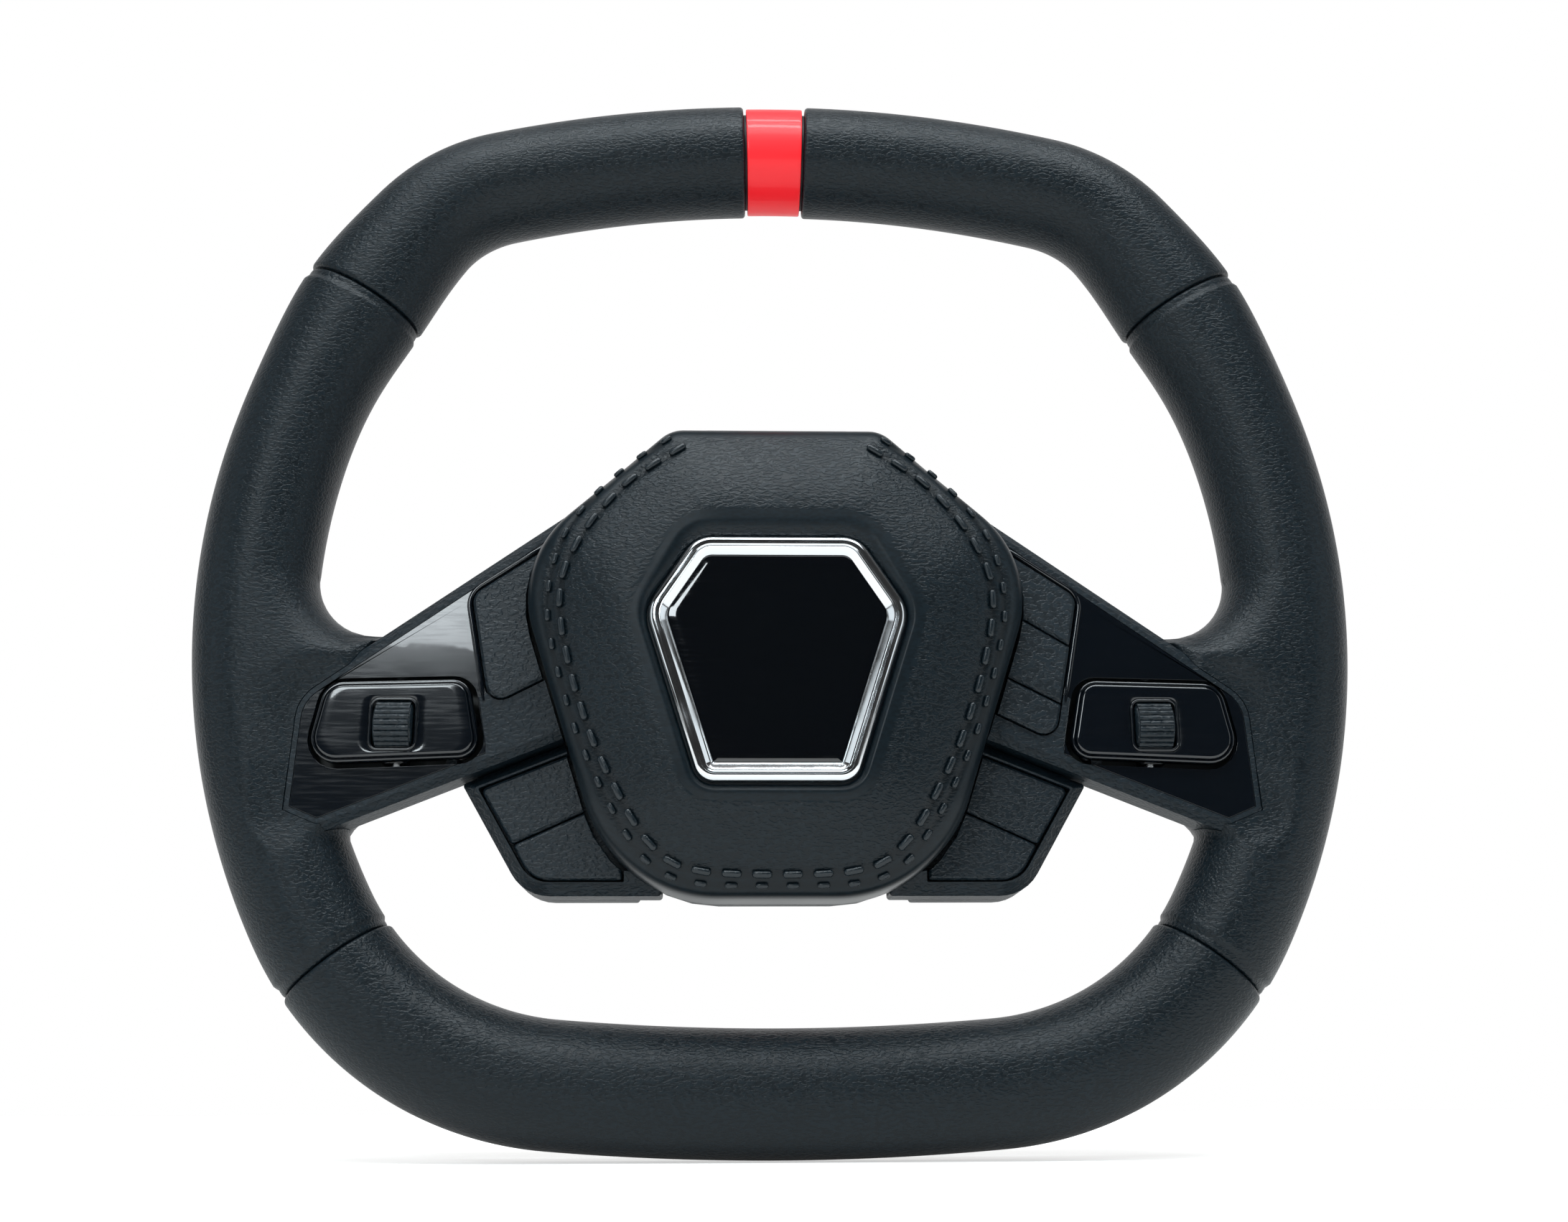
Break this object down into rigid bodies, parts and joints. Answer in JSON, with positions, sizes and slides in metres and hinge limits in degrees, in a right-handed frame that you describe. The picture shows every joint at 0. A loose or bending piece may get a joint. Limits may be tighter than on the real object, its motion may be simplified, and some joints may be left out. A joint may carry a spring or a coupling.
{
  "type": "quick release steering wheel",
  "caption": "Squared-off flat-bottom steering wheel with moulded grips, switch spokes, sprung horn pad and a splined ball-lock quick release socket.",
  "frame": {"origin": "on the steering axis, half way along the 31 mm pilot bore of the hub socket", "axes": "+Z to 12 o'clock of the rim, the face looks along -Y towards the driver, +Y along the steering axis towards the column, +X to the wheel's side that is on the right in a front view"},
  "size_m": [0.35, 0.0941, 0.3313],
  "materials": {
    "moulded_grip": "satin leather-grain moulded skin over foam",
    "red_band": "glossy red moulding",
    "cast_armature": "as-cast light alloy",
    "frame_plastic": "fine-grained black plastic",
    "gloss_black": "piano black",
    "key_plastic": "textured black plastic",
    "roller_plastic": "ridged black plastic",
    "steel_pin": "ground steel",
    "spring_steel": "drawn spring wire",
    "board": "green solder mask",
    "silicone": "translucent silicone",
    "bright_trim": "bright plated plastic",
    "cover_plastic": "fine-grained black plastic",
    "black_screw": "black oxide",
    "hub_alloy": "clear anodised, turned",
    "collar_alloy": "red anodised, knurled",
    "ball_steel": "polished bearing steel"
  },
  "bodies": {
    "wheel": {"armature": "cast_armature", "grip_top_left": "moulded_grip", "grip_top_right": "moulded_grip", "grip_left": "moulded_grip", "grip_right": "moulded_grip", "grip_bottom": "moulded_grip", "centre_band": "red_band", "spoke_frame_left": "frame_plastic", "spoke_frame_right": "frame_plastic", "gloss_insert_left": "gloss_black", "gloss_insert_right": "gloss_black", "rocker_pins": "steel_pin", "wing_housing_left": "frame_plastic", "wing_housing_right": "frame_plastic", "switch_board_left": "board", "switch_board_right": "board", "switch_domes": "silicone", "horn_guide_bolts": "steel_pin", "horn_springs": "spring_steel", "rear_cover": "cover_plastic", "cover_screws": "black_screw", "frame_screws": "black_screw", "hub_socket": "hub_alloy", "hub_bolts": "black_screw", "collar_spring": "spring_steel", "retaining_ring": "spring_steel"},
    "rocker_left": {"rocker_left": "gloss_black", "roller_axle_left": "steel_pin"},
    "rocker_right": {"rocker_right": "gloss_black", "roller_axle_right": "steel_pin"},
    "roller_left": {"roller_left": "roller_plastic"},
    "roller_right": {"roller_right": "roller_plastic"},
    "large_button_left": {"large_button_left": "key_plastic"},
    "button_right_upper": {"button_right_upper": "key_plastic"},
    "button_right_middle": {"button_right_middle": "key_plastic"},
    "button_right_lower": {"button_right_lower": "key_plastic"},
    "wing_button_left_upper": {"wing_button_left_upper": "key_plastic"},
    "wing_button_left_lower": {"wing_button_left_lower": "key_plastic"},
    "wing_button_right_upper": {"wing_button_right_upper": "key_plastic"},
    "wing_button_right_lower": {"wing_button_right_lower": "key_plastic"},
    "horn": {"horn_pad": "moulded_grip", "badge_ring": "bright_trim", "badge_plate": "gloss_black"},
    "collar": {"release_collar": "collar_alloy"},
    "ball_1": {"lock_ball_1": "ball_steel"},
    "ball_2": {"lock_ball_2": "ball_steel"},
    "ball_3": {"lock_ball_3": "ball_steel"},
    "ball_4": {"lock_ball_4": "ball_steel"},
    "ball_5": {"lock_ball_5": "ball_steel"},
    "ball_6": {"lock_ball_6": "ball_steel"}
  },
  "joints": [
    {"name": "rocker_left_tilt", "type": "hinge", "parent": "wheel", "child": "rocker_left", "pos_m": [-0.1104, -0.039, -0.0186], "axis": [0, 0, 1], "range_deg": [-4, 4], "stiffness_Nm_per_rad": 0.8},
    {"name": "roller_left_spin", "type": "hinge", "parent": "rocker_left", "child": "roller_left", "pos_m": [-0.1104, -0.04334, -0.0186], "axis": [1, 0, 0], "continuous": true},
    {"name": "rocker_right_tilt", "type": "hinge", "parent": "wheel", "child": "rocker_right", "pos_m": [0.1104, -0.039, -0.0186], "axis": [0, 0, 1], "range_deg": [-4, 4], "stiffness_Nm_per_rad": 0.8},
    {"name": "roller_right_spin", "type": "hinge", "parent": "rocker_right", "child": "roller_right", "pos_m": [0.1104, -0.04334, -0.0186], "axis": [1, 0, 0], "continuous": true},
    {"name": "large_button_left_press", "type": "slide", "parent": "wheel", "child": "large_button_left", "axis": [0, 1, 0], "range_m": [0, 0.001], "stiffness_N_per_m": 800, "springref_m": -0.001},
    {"name": "button_right_upper_press", "type": "slide", "parent": "wheel", "child": "button_right_upper", "axis": [0, 1, 0], "range_m": [0, 0.001], "stiffness_N_per_m": 800, "springref_m": -0.001},
    {"name": "button_right_middle_press", "type": "slide", "parent": "wheel", "child": "button_right_middle", "axis": [0, 1, 0], "range_m": [0, 0.001], "stiffness_N_per_m": 800, "springref_m": -0.001},
    {"name": "button_right_lower_press", "type": "slide", "parent": "wheel", "child": "button_right_lower", "axis": [0, 1, 0], "range_m": [0, 0.001], "stiffness_N_per_m": 800, "springref_m": -0.001},
    {"name": "wing_button_left_upper_press", "type": "slide", "parent": "wheel", "child": "wing_button_left_upper", "axis": [0, 1, 0], "range_m": [0, 0.001], "stiffness_N_per_m": 800, "springref_m": -0.001},
    {"name": "wing_button_left_lower_press", "type": "slide", "parent": "wheel", "child": "wing_button_left_lower", "axis": [0, 1, 0], "range_m": [0, 0.001], "stiffness_N_per_m": 800, "springref_m": -0.001},
    {"name": "wing_button_right_upper_press", "type": "slide", "parent": "wheel", "child": "wing_button_right_upper", "axis": [0, 1, 0], "range_m": [0, 0.001], "stiffness_N_per_m": 800, "springref_m": -0.001},
    {"name": "wing_button_right_lower_press", "type": "slide", "parent": "wheel", "child": "wing_button_right_lower", "axis": [0, 1, 0], "range_m": [0, 0.001], "stiffness_N_per_m": 800, "springref_m": -0.001},
    {"name": "horn_press", "type": "slide", "parent": "wheel", "child": "horn", "axis": [0, 1, 0], "range_m": [0, 0.002], "stiffness_N_per_m": 12000, "springref_m": -0.001, "deforming": ["horn_springs"]},
    {"name": "collar_slide", "type": "slide", "parent": "wheel", "child": "collar", "axis": [0, -1, 0], "range_m": [0, 0.008], "stiffness_N_per_m": 2500, "springref_m": -0.004, "deforming": ["collar_spring"]},
    {"name": "ball_1_slide", "type": "slide", "parent": "wheel", "child": "ball_1", "axis": [0.866, 0, 0.5], "range_m": [0, 0.002]},
    {"name": "ball_2_slide", "type": "slide", "parent": "wheel", "child": "ball_2", "axis": [0, 0, 1], "range_m": [0, 0.002]},
    {"name": "ball_3_slide", "type": "slide", "parent": "wheel", "child": "ball_3", "axis": [-0.866, 0, 0.5], "range_m": [0, 0.002]},
    {"name": "ball_4_slide", "type": "slide", "parent": "wheel", "child": "ball_4", "axis": [-0.866, 0, -0.5], "range_m": [0, 0.002]},
    {"name": "ball_5_slide", "type": "slide", "parent": "wheel", "child": "ball_5", "axis": [0, 0, -1], "range_m": [0, 0.002]},
    {"name": "ball_6_slide", "type": "slide", "parent": "wheel", "child": "ball_6", "axis": [0.866, 0, -0.5], "range_m": [0, 0.002]}
  ],
  "couplings": [
    {"joint": "ball_1_slide", "follows": "collar_slide", "ratio": 0.25},
    {"joint": "ball_2_slide", "follows": "collar_slide", "ratio": 0.25},
    {"joint": "ball_3_slide", "follows": "collar_slide", "ratio": 0.25},
    {"joint": "ball_4_slide", "follows": "collar_slide", "ratio": 0.25},
    {"joint": "ball_5_slide", "follows": "collar_slide", "ratio": 0.25},
    {"joint": "ball_6_slide", "follows": "collar_slide", "ratio": 0.25}
  ]
}
